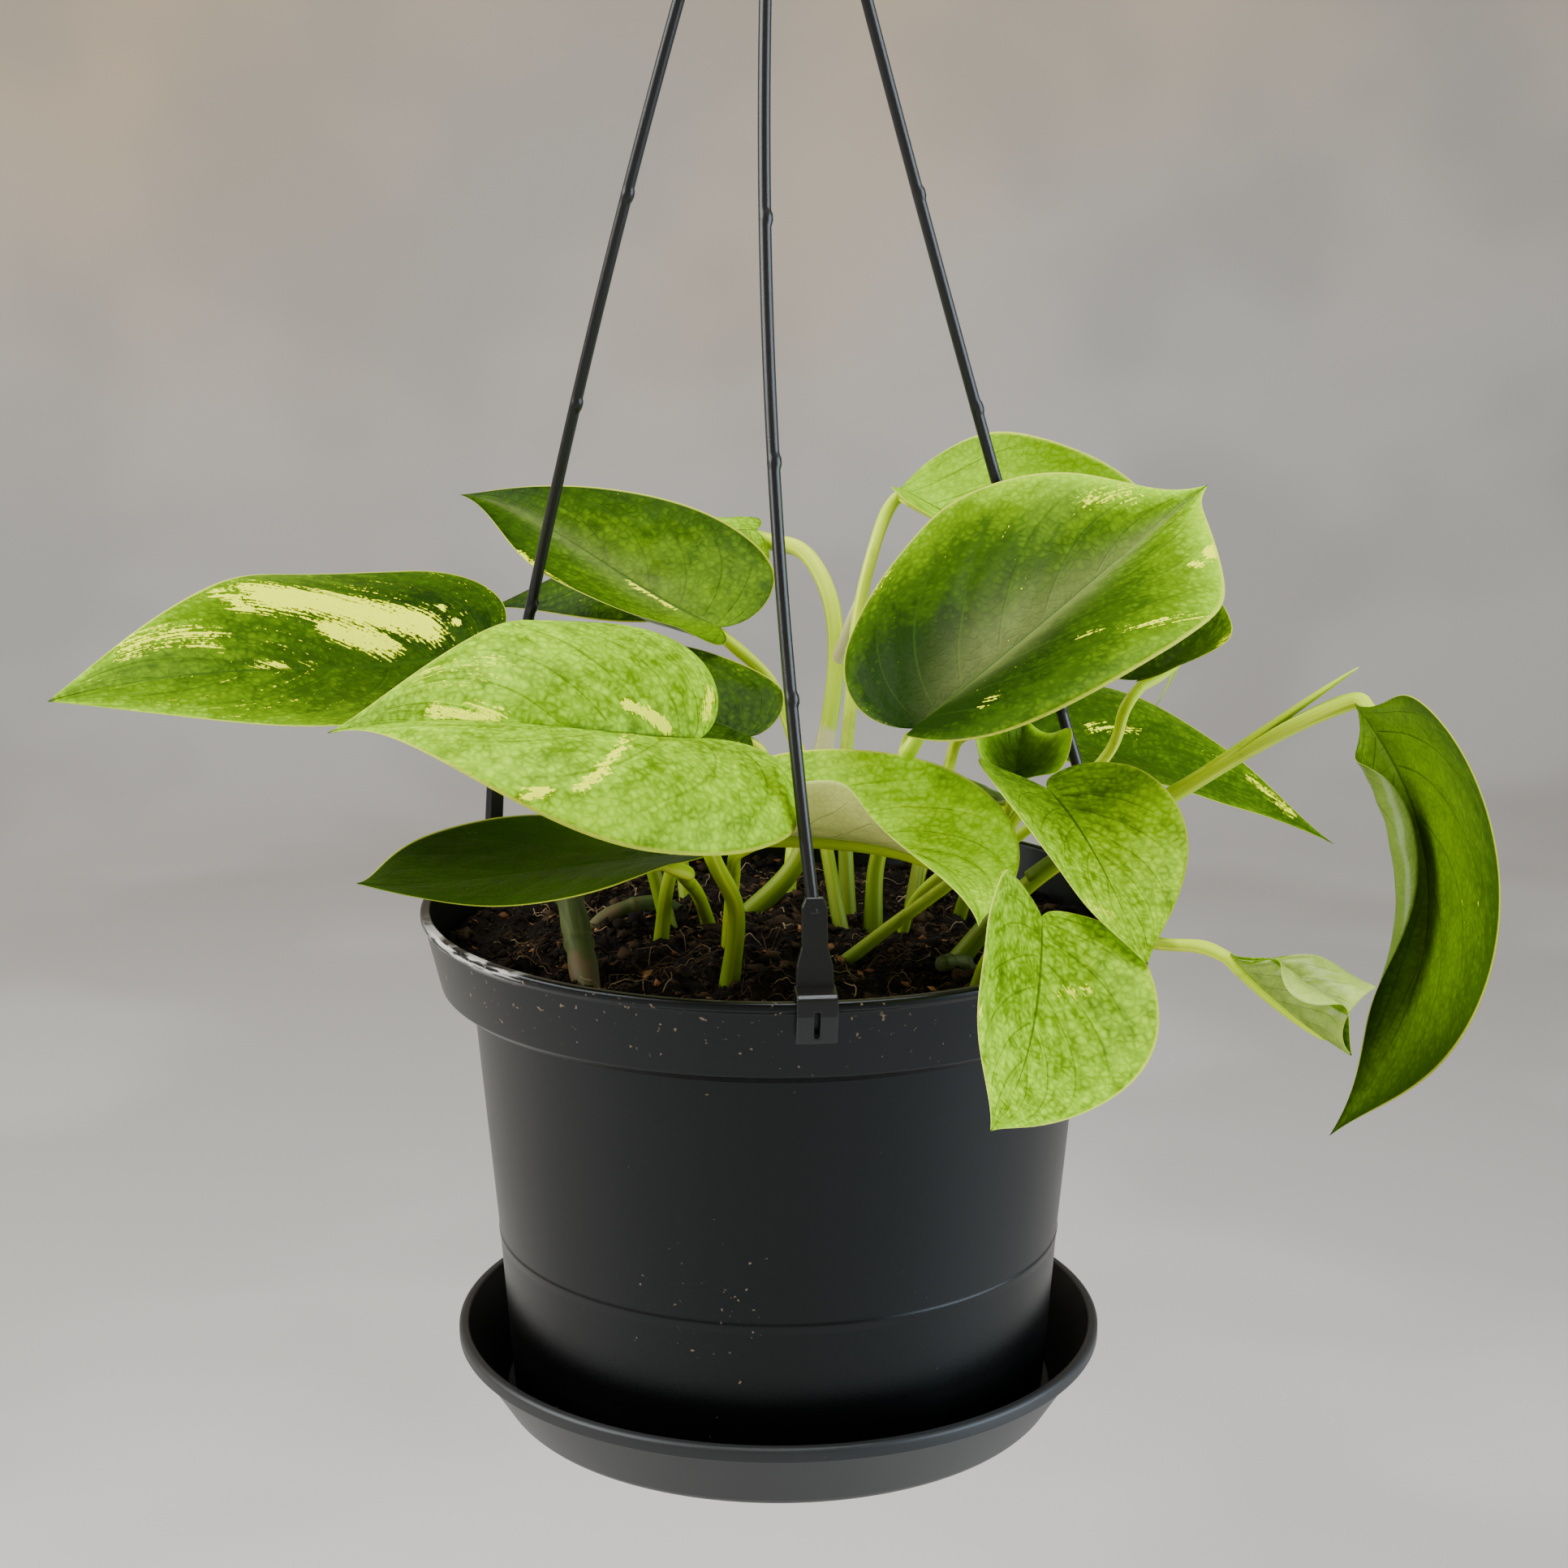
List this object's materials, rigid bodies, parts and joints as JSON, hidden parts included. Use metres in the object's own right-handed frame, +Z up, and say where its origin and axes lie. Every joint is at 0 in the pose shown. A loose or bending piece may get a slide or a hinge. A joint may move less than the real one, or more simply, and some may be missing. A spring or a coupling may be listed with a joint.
{
  "type": "potted trailing house plant",
  "caption": "Heart-leaved trailing house plant in a black hanging pot with a clip-on drip saucer and a rod hanger with a hook.",
  "frame": {"origin": "top of the inner side of the hook, where it bears on what holds it up, on the axis of the pot", "axes": "+Z up along the pot's axis; the pot's front, as pictured, faces -Y; +X to the right of that view"},
  "size_m": [0.3529, 0.3124, 0.5021],
  "materials": {
    "pot_plastic": "fine moulded grain, black",
    "hanger_plastic": "smooth moulded, black",
    "soil": "loose peat and coir, dark brown",
    "leaf": "waxy living leaf, green with yellow marbling",
    "stalk": "waxy living stalk, pale green",
    "vine": "old stem, dull green-brown"
  },
  "bodies": {
    "root": {"leaf_far_left": "leaf", "stalk_far_left": "stalk", "leaf_front_left": "leaf", "stalk_front_left": "stalk", "leaf_upper_left": "leaf", "stalk_upper_left": "stalk", "leaf_back_left": "leaf", "stalk_back_left": "stalk", "leaf_behind_left": "leaf", "stalk_behind_left": "stalk", "leaf_low_left": "leaf", "stalk_low_left": "stalk", "leaf_big_right": "leaf", "stalk_big_right": "stalk", "leaf_top_back": "leaf", "stalk_top_back": "stalk", "leaf_under_right": "leaf", "stalk_under_right": "stalk", "leaf_back_right": "leaf", "stalk_back_right": "stalk", "leaf_curl_centre": "leaf", "stalk_curl_centre": "stalk", "leaf_young_curl": "leaf", "stalk_young_curl": "stalk", "leaf_heart_right": "leaf", "stalk_heart_right": "stalk", "leaf_hanging_front": "leaf", "stalk_hanging_front": "stalk", "leaf_far_right": "leaf", "stalk_far_right": "stalk", "leaf_rolled_right": "leaf", "stalk_rolled_right": "stalk", "leaf_rear_left": "leaf", "stalk_rear_left": "stalk", "leaf_rear_middle": "leaf", "stalk_rear_middle": "stalk", "leaf_rear_right": "leaf", "stalk_rear_right": "stalk", "vine_front": "vine", "vine_creeping": "vine", "vine_cut": "vine", "soil": "soil", "pot": "pot_plastic", "saucer": "pot_plastic", "strand_front": "hanger_plastic", "strand_left": "hanger_plastic", "strand_right": "hanger_plastic", "hanger_hook": "hanger_plastic"}
  },
  "joints": []
}
